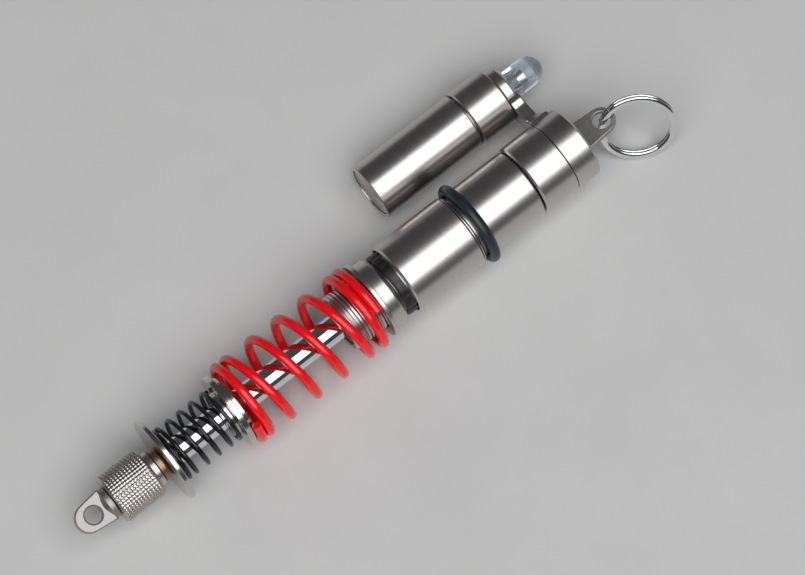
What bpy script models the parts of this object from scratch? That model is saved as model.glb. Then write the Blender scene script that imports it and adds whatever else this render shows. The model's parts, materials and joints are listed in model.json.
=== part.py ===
"""Key-ring coilover with a piggyback torch reservoir, lying on its side.

The shock's axis runs along world +X, from the lower eye to the key ring, and +Z is up.
The origin is the bottom centre of the whole object's box. Along the shock, positions are
stations: distances from the centre of the lower eye's hole, growing towards the key ring.
The reservoir lies beside the body on +Y, rolled down until it rests on the table.
"""
import math

import bmesh
import bpy
from mathutils import Matrix, Vector

MM = 0.001

# ---- driving dimensions, in millimetres until they are scaled by MM ------------------
GAP = 0.15                    # between two pieces that touch on the real object
AXIS_SPACING = 15.0           # shock axis to reservoir axis
REST_R = 7.5                  # widest round parts, which touch the table
ROUND_STEPS = 24
SMALL_STEPS = 16

EYE_HOLE_R = 1.45
EYE_NOSE_R = 2.45
EYE_NOSE_SHIFT = 0.7          # the nose's centre lies this far outside the hole's centre
EYE_BASE = 2.8                # station where the flat eye meets its shank
EYE_BASE_HALF = 2.9
EYE_THICK = 3.0
EYE_ROLL = 14.0               # degrees about the shock axis
SHANK_R = 2.75
SHANK_END = 3.65

KNOB_START = 3.8
KNOB_END = 11.5
KNOB_R = 4.4
KNOB_CHAMFER = 0.3
KNOB_STEP_R = 3.1
KNOB_STEP_END = 12.5

STEM_R = 1.6
COLLAR_NECK_R = 2.9
PERCH_START = 14.0
PERCH_END = 14.9
PERCH_HUB_R = 3.9
PERCH_HUB_END = 16.0
PERCH_EDGE = 0.15
PERCH_SOCKET = 14.7           # bottom of the socket that takes the rod
PERCH_SCREW_R = 1.2           # hole below the socket, for the stem's screw

ROD_R = 2.2
ROD_TIP = 68.0                # far end of the rod, inside the body
ROD_CHAMFER = 0.3
ROD_STOP_R = 3.6
ROD_STOP_START = 62.6
ROD_STOP_END = 64.8
WASHER_START = 61.8
WASHER_END = 62.3

HELPER_WIRE = 0.7
HELPER_R = 4.65               # coil radius at the wire's centre
HELPER_TURNS = 6.1
HELPER_PHASE = 320.0
HELPER_ENDS = (1.0, 0.6)      # turns wound close together at its near and far ends
HELPER_SPACE = 0.1            # between its end turns and the discs
HELPER_CLOSED = 0.12          # gap between its closed end turns

DIVIDER_START = 26.8
DIVIDER_END = 27.8
DIVIDER_R = 6.6
DIVIDER_HUB_R = 3.9
DIVIDER_HUB_START = 25.6
DIVIDER_COLLAR_R = 5.6
DIVIDER_COLLAR_END = 28.7
DIVIDER_CHAMFER = 0.2

MAIN_WIRE = 1.55
MAIN_R = 6.7
MAIN_TURNS = 6.93
MAIN_PHASE = 147.0            # where the lower end of the wire is cut, from +Y over the top
MAIN_SPACE = 0.08
MAIN_CLOSED = 0.06
MAIN_LEAN = 0.35              # its open turns lean: their +Y side is this much nearer the eye
MAIN_ENDS = (1.09, 1.0)       # turns wound close together at its near and far ends

PILOT_START = 49.5
PILOT_END = 71.0
PILOT_R = 5.0
PILOT_BORE = 3.9
PILOT_CHAMFER = 0.3
BUSH_END = 61.4
SEAT_START = 55.8
SEAT_LIP_END = 56.6
SEAT_END = 59.4
SEAT_LIP_R = 6.95
SEAT_R = 6.25
SEAT_TAIL_R = 5.4
SEAT_TAIL = 0.7               # length of its conical tail
SEAT_CHAMFER = 0.2
LOCK_R = 5.75
LOCK_SLOPE = 0.65
LOCK_END = 61.2

SLEEVE_START = 61.4
SLEEVE_END = 75.2
SLEEVE_R = 6.45
TUBE_END = 87.4
TUBE_R = 6.15
TUBE_BORE = 5.3
TUBE_WALL = 0.45              # where the sleeve is over the tube
TUBE_INSET = 0.3              # how far the tube starts inside the sleeve
ORING_STATION = 76.5
ORING_SECTION = 0.85
ORING_GROOVE_R = 5.65
COLLAR_START = 87.65
COLLAR_END = 94.1
COLLAR_BORE = 4.6
CAP_START = 94.25
CAP_END = 98.8
CAP_R = 6.4
CAP_SPIGOT_START = 91.0
CAP_SPIGOT_R = 4.4
CHAMFER = 0.4
SEAM_CHAMFER = 0.1            # where two turned pieces meet in a fine seam

TAB_HOLE = 104.0
TAB_HOLE_R = 1.5
TAB_NOSE_R = 2.35
TAB_BASE_HALF = 2.95
TAB_THICK = 1.0
TAB_ROOT = 95.9               # how far the tab is let into the cap's slot

RING_WIRE = 1.2
RING_R = 5.9
RING_PLAY = 0.2               # the ring hangs this far off the hole's centre
RING_HEADING = -40.0          # degrees, in the tab's plane from the shock axis
RING_DROOP = 22.0             # degrees, below the tab's plane
RING_LEAN = -25.0             # degrees, of the ring's plane about its own diameter

BRIDGE_THICK = 2.3
BRIDGE_HALF = 2.3
BRIDGE_ROOT = 3.0             # where the bridge starts, inside the cap
BRIDGE_FOOT_DROP = 1.0        # from the cap's top to the foot's
BRIDGE_FOOT_REACH = 0.3       # how far the foot stands out of the cap
BOSS_R = 4.25
BOSS_CHAMFER = 0.45
BARREL_START = 67.8
BARREL_R = 4.95
BARREL_BORE = 4.35
BARREL_CHAMFER = 0.25
END_DISC_INSET = 0.25
END_DISC_THICK = 1.0
HEAD_R = 5.15
HEAD_CHAMFER = 0.3
HEAD_BORE = 3.45
SPIGOT_R = 4.15
SPIGOT_START = 83.6
CELL_R = 3.95
CELL_HEIGHT = 3.6
CELL_COUNT = 3
CELL_START = 71.6
BATTERY_WIRE = 0.4
BATTERY_SPRING_R = 2.2
PIN_FLANGE = (2.9, 1.1)       # radius and length
PIN_TIP = (1.0, 2.7)
LED_R = 2.5
LED_FLANGE_R = 2.85
LED_TIP = 103.2
LED_BASE = 92.6
LED_SEAT = 90.6               # bottom of the lamp's socket in the head
LEAD_R = 0.25
LEAD_SPACING = 1.27
LEAD_END = 87.0
HOLDER_START = 88.9
HOLDER_STEP = 90.4
HOLDER_R = 3.3
HOLDER_BORE = 2.1
CONTACT_START = 85.4
CONTACT_END = 86.3
CONTACT_R = 3.2

ROLL_DOWN = math.asin((REST_R - HEAD_R) / AXIS_SPACING)

PARTS = "keyring_coilover"
CUTTERS = "cutters"


# ---- scene, collections and materials -------------------------------------------------

def clear_scene():
    for obj in list(bpy.data.objects):
        bpy.data.objects.remove(obj, do_unlink=True)


def collection(name):
    made = bpy.data.collections.new(name)
    bpy.context.scene.collection.children.link(made)
    return made


def material(name, colour, roughness, metallic=0.0, transmission=0.0):
    made = bpy.data.materials.new(name)
    made.use_nodes = True
    shader = made.node_tree.nodes["Principled BSDF"]
    shader.inputs["Base Color"].default_value = (*colour, 1.0)
    shader.inputs["Roughness"].default_value = roughness
    shader.inputs["Metallic"].default_value = metallic
    shader.inputs["Transmission Weight"].default_value = transmission
    return made


def make_materials():
    return {
        "satin": material("satin_nickel", (0.52, 0.50, 0.48), 0.28, 1.0),
        "knurl": material("knurled_nickel", (0.46, 0.44, 0.42), 0.38, 1.0),
        "chrome": material("chrome", (0.80, 0.81, 0.83), 0.07, 1.0),
        "brass": material("dull_brass", (0.46, 0.34, 0.22), 0.35, 1.0),
        "red": material("red_enamel", (0.72, 0.01, 0.015), 0.22),
        "black": material("blackened_steel", (0.03, 0.035, 0.04), 0.3, 0.6),
        "steel": material("plain_steel", (0.55, 0.55, 0.56), 0.3, 1.0),
        "rubber": material("blue_grey_rubber", (0.06, 0.09, 0.11), 0.55),
        "clear": material("clear_epoxy", (0.86, 0.92, 1.0), 0.04, 0.0, 0.9),
        "plastic": material("white_plastic", (0.75, 0.75, 0.72), 0.5),
    }


# ---- frame ----------------------------------------------------------------------------

def ring_axes():
    """The ring's diameter from the hole, and its tangent there, in the tab's frame."""
    heading = math.radians(RING_HEADING)
    droop = math.radians(RING_DROOP)
    lean = math.radians(RING_LEAN)
    level = Vector((math.cos(heading), math.sin(heading), 0.0))
    up = Vector((0.0, 0.0, 1.0))
    diameter = level * math.cos(droop) - up * math.sin(droop)
    upright = level * math.sin(droop) + up * math.cos(droop)
    tangent = upright * math.cos(lean) + level.cross(up) * math.sin(lean)
    return diameter.normalized(), tangent.normalized()


def ring_reach(direction):
    """How far the ring reaches from the shock axis's point at the tab hole."""
    diameter, tangent = ring_axes()
    turn = Matrix.Rotation(-ROLL_DOWN, 3, "X")
    centre = turn @ diameter * (RING_R + RING_PLAY)
    normal = turn @ diameter.cross(tangent)
    across = math.sqrt(1.0 - normal.dot(direction) ** 2)
    return centre.dot(direction) + RING_R * across + RING_WIRE / 2


def box_centre():
    """Station and sideways place, from the shock axis, of the middle of the object's box."""
    far = TAB_HOLE + ring_reach(Vector((1.0, 0.0, 0.0)))
    near = -EYE_NOSE_SHIFT - EYE_NOSE_R
    left = AXIS_SPACING * math.cos(ROLL_DOWN) + HEAD_R
    right = -max(REST_R, ring_reach(Vector((0.0, -1.0, 0.0))))
    return (near + far) / 2, (left + right) / 2


def empty(name, location, rotation=(0.0, 0.0, 0.0), parent=None):
    made = bpy.data.objects.new(name, None)
    made.empty_display_size = 5 * MM
    made.location = location
    made.rotation_euler = rotation
    made.parent = parent
    group.objects.link(made)
    return made


def make_frame():
    middle, sideways = box_centre()
    shock = empty("shock_axis", (-middle * MM, -sideways * MM, REST_R * MM))
    rolled = empty("tab_plane", (0.0, 0.0, 0.0), (-ROLL_DOWN, 0.0, 0.0), shock)
    torch = empty("torch_axis", (0.0, AXIS_SPACING * MM, 0.0), parent=rolled)
    ring = empty("key_ring_hinge", (TAB_HOLE * MM, 0.0, 0.0), parent=rolled)
    return {"shock": shock, "tab": rolled, "torch": torch, "ring": ring}


# ---- modelling tools ------------------------------------------------------------------

def finish(obj, look, parent=None):
    """Give an object its material, parent and collection."""
    obj.data.materials.append(looks[look])
    obj.parent = parent
    group.objects.link(obj)
    return obj


def smooth(mesh, angle=35.0):
    mesh.shade_smooth()
    mesh.set_sharp_from_angle(angle=math.radians(angle))


def evaluated_mesh(obj):
    bpy.context.view_layer.update()
    return bpy.data.meshes.new_from_object(
        obj.evaluated_get(bpy.context.evaluated_depsgraph_get())
    )


def turned(name, outside, look, parent, bore=(), steps=ROUND_STEPS):
    """A turned piece about its parent's X axis.

    outside lists (station, radius) from the far end to the near end, and bore lists
    the same back from the near end to the far one. Without a bore the piece is solid.
    """
    points = list(outside) + list(bore)
    mesh = bpy.data.meshes.new(name)
    work = bmesh.new()
    verts = [work.verts.new((r * MM, 0.0, x * MM)) for x, r in points]
    for first, second in zip(verts, verts[1:]):
        work.edges.new((first, second))
    if bore:
        work.edges.new((verts[-1], verts[0]))
    work.to_mesh(mesh)
    work.free()
    obj = finish(bpy.data.objects.new(name, mesh), look, parent)
    obj.rotation_euler = (0.0, math.radians(90.0), 0.0)
    screw = obj.modifiers.new("turn", "SCREW")
    screw.steps = steps
    screw.render_steps = steps
    screw.use_merge_vertices = True
    screw.merge_threshold = 1e-7
    screw.use_smooth_shade = True
    return obj


def solid_bar(start, end, radius, chamfer=0.0):
    """The outline of a solid round bar with chamfered ends."""
    if not chamfer:
        return [(end, 0.0), (end, radius), (start, radius), (start, 0.0)]
    return [
        (end, 0.0), (end, radius - chamfer), (end - chamfer, radius),
        (start + chamfer, radius), (start, radius - chamfer), (start, 0.0),
    ]


def chamfered(start, end, radius, near=CHAMFER, far=CHAMFER):
    """The outside of a round piece with a chamfer at each end, far end first."""
    points = [(end, radius - far), (end - far, radius)] if far else [(end, radius)]
    points += [(start + near, radius), (start, radius - near)] if near else [(start, radius)]
    return points


def helix(turns, phase, radius, start, end, closed, ramp, per_turn=16, lean=0.0,
          ends=(1.0, 1.0)):
    """Points of a right-hand coil about X whose end turns are wound close together.

    ends says how many turns are close at the start and at the end. The open turns lean
    by lean, towards the start on their +Y side.
    """
    count = round(turns * per_turn)

    def openness(turn):
        edge = min(turn - ends[0], turns - turn - ends[1])
        part = min(max(edge / ramp, 0.0), 1.0)
        return part * part * (3.0 - 2.0 * part)

    shares = [openness((i + 0.5) / per_turn) for i in range(count)]
    spare = (end - start) - closed * turns
    points = []
    along = start
    for i in range(count + 1):
        angle = math.radians(phase) + math.tau * turns * i / count
        leaning = lean * math.cos(angle) * openness(i / per_turn)
        points.append(
            Vector((along - leaning, radius * math.cos(angle), radius * math.sin(angle)))
        )
        if i < count:
            along += closed * turns / count + spare * shares[i] / sum(shares)
    return points


def wire(name, points, thickness, look, parent, cyclic=False, sides=2):
    """A round wire through the points, in millimetres, as a curve object."""
    curve = bpy.data.curves.new(name, "CURVE")
    curve.dimensions = "3D"
    curve.bevel_depth = thickness / 2 * MM
    curve.bevel_resolution = sides
    curve.use_fill_caps = True
    spline = curve.splines.new("POLY")
    spline.points.add(len(points) - 1)
    for knot, point in zip(spline.points, points):
        knot.co = (*(Vector(point) * MM), 1.0)
    spline.use_cyclic_u = cyclic
    spline.use_smooth = True
    return finish(bpy.data.objects.new(name, curve), look, parent)


def arc(centre, radius, first, last, count):
    """Points on a circle, from the first angle to the last, in degrees."""
    return [
        (
            centre[0] + radius * math.cos(math.radians(first + (last - first) * i / count)),
            centre[1] + radius * math.sin(math.radians(first + (last - first) * i / count)),
        )
        for i in range(count + 1)
    ]


def nose_plate(name, nose, nose_r, base, base_half, hole, hole_r, thick):
    """A flat plate from a straight base to a round nose, with a hole, as a mesh.

    It lies in its own XY plane, and the nose points away from the base.
    """
    way = 1.0 if nose > base else -1.0
    reach = abs(nose - base)
    corner = math.degrees(math.atan2(base_half, reach))
    tangent = 180.0 - corner - math.degrees(math.acos(nose_r / math.hypot(reach, base_half)))
    round_end = arc((0.0, 0.0), nose_r, tangent, -tangent, 12)
    outline = [(nose + way * x, y) for x, y in round_end]
    outline += [(base, -base_half), (base, base_half)]
    curve = bpy.data.curves.new(name, "CURVE")
    curve.dimensions = "2D"
    curve.fill_mode = "BOTH"
    curve.extrude = thick / 2 * MM
    for loop in (outline, arc((hole, 0.0), hole_r, 0.0, 337.5, 15)):
        spline = curve.splines.new("POLY")
        spline.points.add(len(loop) - 1)
        for knot, (x, y) in zip(spline.points, loop):
            knot.co = (x * MM, y * MM, 0.0, 1.0)
        spline.use_cyclic_u = True
    flat = bpy.data.objects.new(name + "_outline", curve)
    group.objects.link(flat)
    mesh = evaluated_mesh(flat)
    bpy.data.objects.remove(flat, do_unlink=True)
    work = bmesh.new()
    work.from_mesh(mesh)
    bmesh.ops.remove_doubles(work, verts=work.verts, dist=1e-7)
    bmesh.ops.recalc_face_normals(work, faces=work.faces)
    work.to_mesh(mesh)
    work.free()
    mesh.name = name
    smooth(mesh)
    return mesh


def box_mesh(name, low, high):
    """A box between two corners, in millimetres."""
    mesh = bpy.data.meshes.new(name)
    work = bmesh.new()
    bmesh.ops.create_cube(work, size=1.0)
    low, high = Vector(low) * MM, Vector(high) * MM
    for vert in work.verts:
        for k in range(3):
            vert.co[k] = high[k] if vert.co[k] > 0 else low[k]
    work.to_mesh(mesh)
    work.free()
    return mesh


def rod_mesh(name, start, end, radius, chamfer, steps=ROUND_STEPS):
    """A plain or chamfered cylinder along X between two stations, as a mesh."""
    mesh = bpy.data.meshes.new(name)
    work = bmesh.new()
    turn = Matrix.Rotation(math.radians(90.0), 4, "Y")
    move = Matrix.Translation(((start + end) / 2 * MM, 0.0, 0.0))
    bmesh.ops.create_cone(
        work, cap_ends=True, segments=steps, radius1=radius * MM, radius2=radius * MM,
        depth=(end - start) * MM, matrix=move @ turn,
    )
    if chamfer:
        rims = [e for e in work.edges if abs((e.verts[0].co - e.verts[1].co).x) < 1e-9]
        bmesh.ops.bevel(work, geom=rims, offset=chamfer * MM, segments=1, affect="EDGES")
    work.to_mesh(mesh)
    work.free()
    smooth(mesh)
    return mesh


def helper(name, mesh, parent, location=(0.0, 0.0, 0.0)):
    """An object that only cuts or joins another one."""
    obj = bpy.data.objects.new(name, mesh)
    obj.parent = parent
    obj.location = Vector(location) * MM
    obj.hide_render = True
    obj.display_type = "WIRE"
    tools.objects.link(obj)
    return obj


def combine(obj, tool, operation):
    step = obj.modifiers.new(operation.lower(), "BOOLEAN")
    step.operation = operation
    step.solver = "EXACT"
    step.object = tool


# ---- lower end: eye, adjuster knob, perch and rod -------------------------------------

def make_lower_eye():
    """The flat eye and its round shank, one solid, turned a little about the axis."""
    plate = nose_plate(
        "lower_eye", -EYE_NOSE_SHIFT, EYE_NOSE_R, EYE_BASE, EYE_BASE_HALF,
        0.0, EYE_HOLE_R, EYE_THICK,
    )
    eye = finish(bpy.data.objects.new("lower_eye", plate), "satin", frame["shock"])
    eye.rotation_euler = (math.radians(EYE_ROLL), 0.0, 0.0)
    shank = helper(
        "eye_shank", rod_mesh("eye_shank", EYE_BASE - 0.3, SHANK_END, SHANK_R, 0.0, SMALL_STEPS),
        eye,
    )
    combine(eye, shank, "UNION")
    return eye


def make_adjuster_knob():
    """The knurled knob's envelope, with its small step, bored for the stem."""
    bore = STEM_R + GAP
    turned(
        "adjuster_knob",
        [
            (KNOB_STEP_END, KNOB_STEP_R), (KNOB_END, KNOB_STEP_R),
            *chamfered(KNOB_START, KNOB_END, KNOB_R, KNOB_CHAMFER, KNOB_CHAMFER),
        ],
        "knurl", frame["shock"],
        bore=[(KNOB_START, bore), (KNOB_STEP_END, bore)],
    )


def make_stem():
    """The brass stem: a neck that shows, and a spigot through the knob to the eye."""
    turned(
        "brass_stem",
        [
            (PERCH_START - GAP, 0.0), (PERCH_START - GAP, COLLAR_NECK_R),
            (KNOB_STEP_END + GAP, COLLAR_NECK_R), (KNOB_STEP_END + GAP, STEM_R),
            (SHANK_END + GAP, STEM_R), (SHANK_END + GAP, 0.0),
        ],
        "brass", frame["shock"], steps=SMALL_STEPS,
    )


def make_lower_perch():
    turned(
        "lower_perch",
        [
            (PERCH_HUB_END, PERCH_HUB_R - ROD_CHAMFER),
            (PERCH_HUB_END - ROD_CHAMFER, PERCH_HUB_R), (PERCH_END, PERCH_HUB_R),
            *chamfered(PERCH_START, PERCH_END, REST_R, PERCH_EDGE, PERCH_EDGE),
        ],
        "satin", frame["shock"],
        bore=[(PERCH_START, PERCH_SCREW_R), (PERCH_SOCKET, PERCH_SCREW_R),
              (PERCH_SOCKET, ROD_R + GAP), (PERCH_HUB_END, ROD_R + GAP)],
    )


def make_rod():
    turned(
        "piston_rod", solid_bar(PERCH_SOCKET + GAP, ROD_TIP, ROD_R, ROD_CHAMFER), "chrome",
        frame["shock"], steps=SMALL_STEPS,
    )
    turned(
        "rod_stop_nut",
        chamfered(ROD_STOP_START, ROD_STOP_END, ROD_STOP_R, ROD_CHAMFER, ROD_CHAMFER), "steel",
        frame["shock"],
        bore=[(ROD_STOP_START, ROD_R + GAP), (ROD_STOP_END, ROD_R + GAP)], steps=SMALL_STEPS,
    )
    turned(
        "stop_washer", [(WASHER_END, ROD_STOP_R), (WASHER_START, ROD_STOP_R)], "rubber",
        frame["shock"], bore=[(WASHER_START, ROD_R + GAP), (WASHER_END, ROD_R + GAP)],
        steps=SMALL_STEPS,
    )


# ---- springs and divider --------------------------------------------------------------

def make_springs():
    half = HELPER_WIRE / 2 + HELPER_SPACE
    coil = helix(
        HELPER_TURNS, HELPER_PHASE, HELPER_R, PERCH_END + half, DIVIDER_START - half,
        closed=HELPER_WIRE + HELPER_CLOSED, ramp=0.5, per_turn=14, ends=HELPER_ENDS,
    )
    wire("helper_spring", coil, HELPER_WIRE, "black", frame["shock"], sides=1)
    half = MAIN_WIRE / 2 + MAIN_SPACE
    coil = helix(
        MAIN_TURNS, MAIN_PHASE, MAIN_R, DIVIDER_END + half, SEAT_START - half,
        closed=MAIN_WIRE + MAIN_CLOSED, ramp=0.8, lean=MAIN_LEAN,
        ends=MAIN_ENDS,
    )
    wire("main_spring", coil, MAIN_WIRE, "red", frame["shock"])


def make_divider():
    turned(
        "spring_divider",
        [
            (DIVIDER_COLLAR_END, DIVIDER_COLLAR_R - DIVIDER_CHAMFER),
            (DIVIDER_COLLAR_END - DIVIDER_CHAMFER, DIVIDER_COLLAR_R),
            (DIVIDER_END, DIVIDER_COLLAR_R), (DIVIDER_END, DIVIDER_R),
            (DIVIDER_START, DIVIDER_R), (DIVIDER_START, DIVIDER_HUB_R),
            (DIVIDER_HUB_START, DIVIDER_HUB_R),
        ],
        "satin", frame["shock"],
        bore=[(DIVIDER_HUB_START, ROD_R + 2 * GAP), (DIVIDER_COLLAR_END, ROD_R + 2 * GAP)],
    )


# ---- body -----------------------------------------------------------------------------

def make_spring_end():
    """The threaded pilot tube, its rod bush, the upper seat and the locking collar."""
    turned(
        "pilot_tube",
        chamfered(PILOT_START, PILOT_END, PILOT_R, PILOT_CHAMFER, PILOT_CHAMFER), "satin",
        frame["shock"], bore=[(PILOT_START, PILOT_BORE), (PILOT_END, PILOT_BORE)],
    )
    bush_start = PILOT_START + PILOT_CHAMFER
    turned(
        "rod_bush", [(BUSH_END, PILOT_BORE - GAP), (bush_start, PILOT_BORE - GAP)], "brass",
        frame["shock"],
        bore=[(bush_start, ROD_R + GAP), (BUSH_END, ROD_R + GAP)], steps=SMALL_STEPS,
    )
    bore = PILOT_R + GAP
    turned(
        "upper_spring_seat",
        [
            (SEAT_END, SEAT_TAIL_R), (SEAT_END - SEAT_TAIL, SEAT_R - SEAT_CHAMFER),
            (SEAT_LIP_END, SEAT_R), (SEAT_LIP_END, SEAT_LIP_R - SEAT_CHAMFER),
            (SEAT_START + SEAT_CHAMFER, SEAT_LIP_R), (SEAT_START, SEAT_LIP_R - SEAT_CHAMFER),
        ],
        "satin", frame["shock"], bore=[(SEAT_START, bore), (SEAT_END, bore)],
    )
    turned(
        "lock_ring",
        [(LOCK_END, LOCK_R), (SEAT_END + GAP + LOCK_SLOPE, LOCK_R),
         (SEAT_END + GAP, LOCK_R - LOCK_SLOPE / 2)],
        "black", frame["shock"], bore=[(SEAT_END + GAP, bore), (LOCK_END, bore)],
    )


def make_body():
    """The stepped body tube with its O-ring groove, the sleeve over it and the collar."""
    neck_r = TUBE_BORE + TUBE_WALL
    groove_half = ORING_SECTION + SEAM_CHAMFER / 2
    tube_start = SLEEVE_START + TUBE_INSET
    turned(
        "body_tube",
        [
            (TUBE_END, TUBE_R), (ORING_STATION + groove_half + SEAM_CHAMFER, TUBE_R),
            (ORING_STATION + groove_half, ORING_GROOVE_R),
            (ORING_STATION - groove_half, ORING_GROOVE_R), (tube_start, ORING_GROOVE_R),
        ],
        "satin", frame["shock"], bore=[(tube_start, TUBE_BORE), (TUBE_END, TUBE_BORE)],
    )
    turned(
        "body_sleeve", chamfered(SLEEVE_START, SLEEVE_END, SLEEVE_R), "satin",
        frame["shock"],
        bore=[(SLEEVE_START, neck_r + GAP), (SLEEVE_END, neck_r + GAP)],
    )
    turned(
        "body_collar", chamfered(COLLAR_START, COLLAR_END, CAP_R, CHAMFER, SEAM_CHAMFER),
        "satin", frame["shock"],
        bore=[(COLLAR_START, COLLAR_BORE), (COLLAR_END, COLLAR_BORE)],
    )
    circle = [
        (ORING_STATION, *point)
        for point in arc((0.0, 0.0), REST_R - ORING_SECTION, 0.0, 345.0, 23)
    ]
    wire(
        "body_o_ring", circle, 2 * ORING_SECTION, "rubber", frame["shock"], cyclic=True,
    )


def make_bridge_cap():
    """The top cap, the bridge and the torch boss: one casting with a slot for the tab."""
    cap = finish(
        bpy.data.objects.new(
            "bridge_cap", rod_mesh("bridge_cap", CAP_START, CAP_END, CAP_R, CHAMFER)
        ),
        "satin", frame["tab"],
    )
    bridge_end = CAP_START + BRIDGE_THICK
    bridge = box_mesh(
        "bridge", (CAP_START, BRIDGE_ROOT, -BRIDGE_HALF),
        (bridge_end, AXIS_SPACING - BOSS_R / 2, BRIDGE_HALF),
    )
    foot = box_mesh(
        "bridge_foot", (CAP_START + GAP, BRIDGE_ROOT, -BRIDGE_HALF),
        (CAP_END - BRIDGE_FOOT_DROP, CAP_R + BRIDGE_FOOT_REACH, BRIDGE_HALF),
    )
    boss = rod_mesh("torch_boss", CAP_START, bridge_end, BOSS_R, BOSS_CHAMFER)
    bore = rod_mesh(
        "led_bore", CAP_START - BRIDGE_THICK, bridge_end + BRIDGE_THICK, LED_R + GAP, 0.0,
    )
    spigot = rod_mesh(
        "cap_spigot", CAP_SPIGOT_START, CAP_START + BRIDGE_THICK / 2, CAP_SPIGOT_R, 0.0,
    )
    slot = box_mesh(
        "tab_slot", (TAB_ROOT - GAP, -TAB_BASE_HALF - GAP, -TAB_THICK / 2 - GAP),
        (CAP_END + BRIDGE_THICK, TAB_BASE_HALF + GAP, TAB_THICK / 2 + GAP),
    )
    beside = (0.0, AXIS_SPACING, 0.0)
    combine(cap, helper("bridge", bridge, frame["tab"]), "UNION")
    combine(cap, helper("bridge_foot", foot, frame["tab"]), "UNION")
    combine(cap, helper("torch_boss", boss, frame["tab"], beside), "UNION")
    combine(cap, helper("cap_spigot", spigot, frame["tab"]), "UNION")
    combine(cap, helper("led_bore", bore, frame["tab"], beside), "DIFFERENCE")
    combine(cap, helper("tab_slot", slot, frame["tab"]), "DIFFERENCE")


def make_tab_and_ring():
    plate = nose_plate(
        "key_ring_tab", TAB_HOLE, TAB_NOSE_R, TAB_ROOT, TAB_BASE_HALF, TAB_HOLE,
        TAB_HOLE_R, TAB_THICK,
    )
    finish(bpy.data.objects.new("key_ring_tab", plate), "satin", frame["tab"])
    diameter, tangent = ring_axes()
    centre = diameter * (RING_R + RING_PLAY)
    count = 32
    circle = [
        centre + RING_R * (tangent * math.sin(math.tau * i / count)
                           - diameter * math.cos(math.tau * i / count))
        for i in range(count)
    ]
    wire("split_key_ring", circle, RING_WIRE, "chrome", frame["ring"], cyclic=True)


# ---- torch reservoir ------------------------------------------------------------------

def make_torch_head():
    """The fixed head under the boss, its spigot for the barrel, and the LED."""
    turned(
        "torch_head",
        [
            *chamfered(COLLAR_START, COLLAR_END, HEAD_R, HEAD_CHAMFER, SEAM_CHAMFER),
            (COLLAR_START, SPIGOT_R), (SPIGOT_START, SPIGOT_R),
        ],
        "satin", frame["torch"],
        bore=[(SPIGOT_START, HEAD_BORE), (LED_SEAT, HEAD_BORE),
              (LED_SEAT, LED_FLANGE_R + GAP), (COLLAR_END, LED_FLANGE_R + GAP)],
    )
    shoulder = COLLAR_END - 2 * SEAM_CHAMFER
    dome = [
        (LED_TIP - LED_R + x, r) for x, r in reversed(arc((0.0, 0.0), LED_R, 0.0, 90.0, 5))
    ]
    outline = [(x, r if r > 1e-9 else 0.0) for x, r in reversed(dome)]
    turned(
        "led_lens",
        [
            *outline, (shoulder, LED_R), (shoulder, LED_FLANGE_R),
            (LED_BASE, LED_FLANGE_R), (LED_BASE, 0.0),
        ],
        "clear", frame["torch"], steps=SMALL_STEPS,
    )
    turned(
        "led_holder",
        [
            (LED_BASE - GAP, LED_FLANGE_R), (HOLDER_STEP, LED_FLANGE_R),
            (HOLDER_STEP, HOLDER_R), (HOLDER_START, HOLDER_R),
        ],
        "plastic", frame["torch"],
        bore=[(HOLDER_START, HOLDER_BORE), (LED_BASE - GAP, HOLDER_BORE)], steps=SMALL_STEPS,
    )
    for side, name in ((-1, "led_lead_minus"), (1, "led_lead_plus")):
        place = side * LEAD_SPACING
        wire(
            name, [(LED_BASE - GAP, place, 0.0), (LEAD_END, place, 0.0)], 2 * LEAD_R,
            "steel", frame["torch"], sides=1,
        )
    turned(
        "contact_disc", solid_bar(CONTACT_START, CONTACT_END, CONTACT_R), "brass",
        frame["torch"], steps=SMALL_STEPS,
    )


def make_battery_barrel():
    """The barrel that screws on the head, with its end cap, spring and button cells."""
    turned(
        "battery_barrel", chamfered(BARREL_START, TUBE_END, BARREL_R, 0.0, BARREL_CHAMFER),
        "satin", frame["torch"],
        bore=[(BARREL_START, BARREL_BORE), (TUBE_END, BARREL_BORE)],
    )
    disc_start = BARREL_START + END_DISC_INSET
    disc_end = disc_start + END_DISC_THICK
    turned(
        "barrel_end_disc", solid_bar(disc_start, disc_end, BARREL_BORE - GAP), "knurl",
        frame["torch"],
    )
    half = BATTERY_WIRE / 2 + GAP
    coil = helix(
        2.5, 0.0, BATTERY_SPRING_R, disc_end + half, CELL_START - half,
        closed=1.5 * BATTERY_WIRE, ramp=0.3, per_turn=12,
    )
    wire("battery_spring", coil, BATTERY_WIRE, "steel", frame["torch"], sides=1)
    for k in range(CELL_COUNT):
        start = CELL_START + k * CELL_HEIGHT
        turned(
            f"button_cell_{k + 1}",
            solid_bar(start, start + CELL_HEIGHT - GAP, CELL_R, BARREL_CHAMFER), "steel",
            frame["torch"], steps=SMALL_STEPS,
        )
    end = CELL_START + CELL_COUNT * CELL_HEIGHT
    flange_r, flange_length = PIN_FLANGE
    tip_r, tip_length = PIN_TIP
    turned(
        "contact_pin",
        [
            (end + tip_length, 0.0), (end + tip_length, tip_r), (end + flange_length, tip_r),
            (end + flange_length, flange_r), (end, flange_r), (end, 0.0),
        ],
        "brass", frame["torch"], steps=SMALL_STEPS,
    )


clear_scene()
group = collection(PARTS)
tools = collection(CUTTERS)
looks = make_materials()
frame = make_frame()

make_lower_eye()
make_adjuster_knob()
make_stem()
make_lower_perch()
make_rod()
make_springs()
make_divider()
make_spring_end()
make_body()
make_bridge_cap()
make_tab_and_ring()
make_torch_head()
make_battery_barrel()
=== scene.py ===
import json
import math

import bmesh
import bpy
from mathutils import Matrix, Vector


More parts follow.
